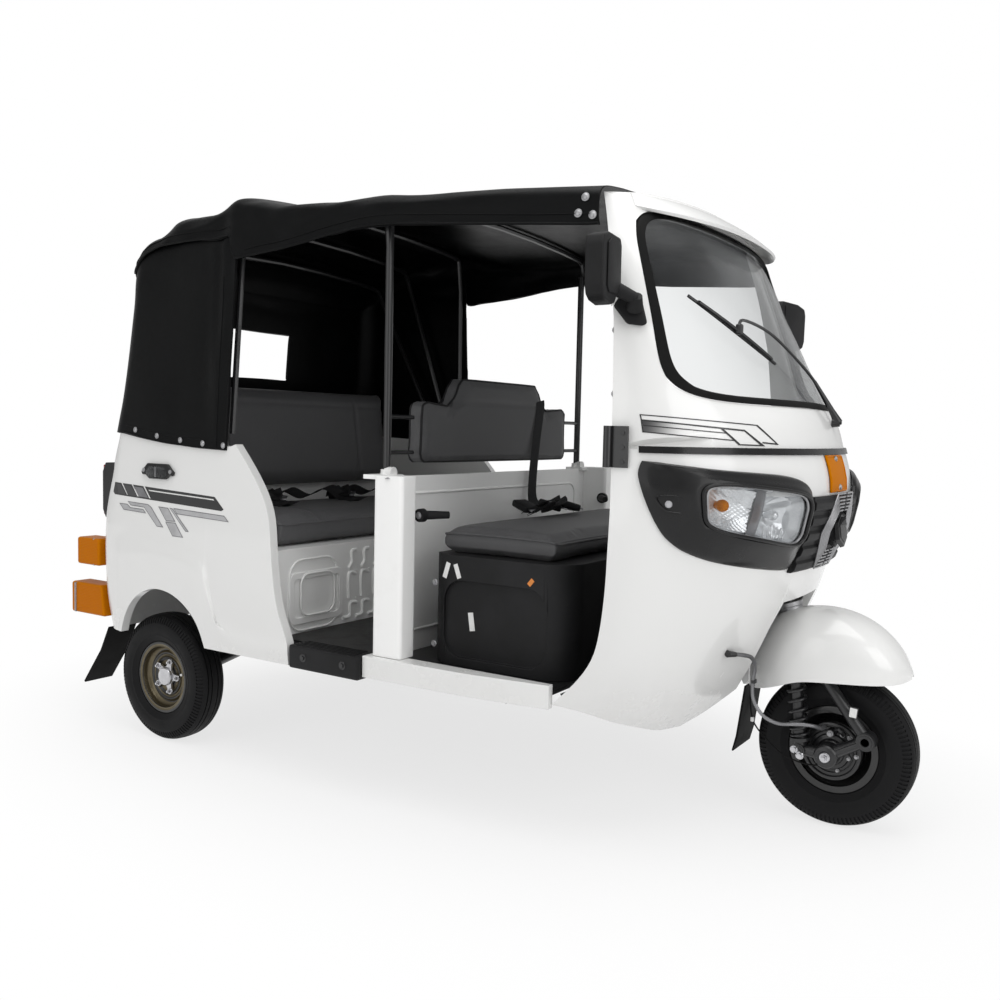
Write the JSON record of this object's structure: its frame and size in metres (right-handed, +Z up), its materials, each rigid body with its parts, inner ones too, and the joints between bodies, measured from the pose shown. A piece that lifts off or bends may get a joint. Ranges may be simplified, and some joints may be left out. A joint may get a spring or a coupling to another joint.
{
  "type": "auto rickshaw",
  "caption": "Three-wheeled passenger taxi with open sides, folding fabric roof, bench seats, curved windscreen and handlebar steering on a trailing-link fork.",
  "frame": {"origin": "on the ground at the middle of the footprint box", "axes": "+X forward along the vehicle's length, +Y to its left, +Z up"},
  "size_m": [2.645, 1.493, 1.74],
  "materials": {
    "white_paint": "gloss",
    "black_steel": "satin",
    "engine_metal": "matte",
    "black_vinyl": "satin",
    "seat_vinyl": "satin",
    "webbing": "matte",
    "black_rubber": "matte",
    "black_plastic": "satin",
    "glass": "gloss",
    "lamp_glass": "gloss",
    "amber": "gloss",
    "sheathing": "satin",
    "tyre_rubber": "matte",
    "rim_black": "satin",
    "rim_steel": "satin"
  },
  "bodies": {
    "body": {"chassis_frame": "black_steel", "floor_pan": "black_steel", "floor_mats": "black_rubber", "toe_board": "black_steel", "sills": "white_paint", "steps": "black_plastic", "quarters": "white_paint", "rear_panel": "white_paint", "hatch_hinges": "black_steel", "engine_block": "engine_metal", "bulkhead": "white_paint", "partition": "white_paint", "rear_cushion": "seat_vinyl", "rear_backrest": "seat_vinyl", "seat_base": "black_steel", "front_cushion": "seat_vinyl", "front_backrest": "seat_vinyl", "seat_belts": "webbing", "hood_frame": "black_steel", "hood_roof": "black_vinyl", "hood_curtain": "black_vinyl", "cowl": "white_paint", "screen_surround": "white_paint", "windscreen": "glass", "screen_seal": "black_rubber", "trim_strip": "black_plastic", "lamp_bezels": "black_plastic", "headlamps": "lamp_glass", "nose_grille": "black_plastic", "front_plate": "amber", "door_hinges": "black_steel", "wiper": "black_plastic", "mirrors": "black_plastic", "dashboard": "black_plastic", "tail_lamps": "black_plastic", "marker_lamps": "amber", "rear_flaps": "black_rubber", "rear_arms": "black_steel", "brake_conduit": "sheathing"},
    "steering": {"fork": "black_steel", "front_link": "black_steel", "front_fender": "white_paint", "front_flap": "black_rubber"},
    "front_wheel": {"front_tyre": "tyre_rubber", "front_rim": "rim_black"},
    "left_wheel": {"left_tyre": "tyre_rubber", "left_rim": "rim_steel"},
    "right_wheel": {"right_tyre": "tyre_rubber", "right_rim": "rim_steel"},
    "hatch": {"hatch": "white_paint"}
  },
  "joints": [
    {"name": "steering_turn", "type": "hinge", "parent": "body", "child": "steering", "pos_m": [0.9665, 0, 0.59], "axis": [-0.309, 0, 0.9511], "range_deg": [-40, 40], "deforming": ["brake_conduit"]},
    {"name": "front_wheel_spin", "type": "hinge", "parent": "steering", "child": "front_wheel", "pos_m": [1.1165, 0, 0.206], "axis": [0, 1, 0], "continuous": true},
    {"name": "left_wheel_spin", "type": "hinge", "parent": "body", "child": "left_wheel", "pos_m": [-0.8685, 0.575, 0.206], "axis": [0, 1, 0], "continuous": true},
    {"name": "right_wheel_spin", "type": "hinge", "parent": "body", "child": "right_wheel", "pos_m": [-0.8685, -0.575, 0.206], "axis": [0, 1, 0], "continuous": true},
    {"name": "hatch_hinge", "type": "hinge", "parent": "body", "child": "hatch", "pos_m": [-1.16754, 0, 0.804], "axis": [0, 1, 0], "range_deg": [0, 80]}
  ]
}
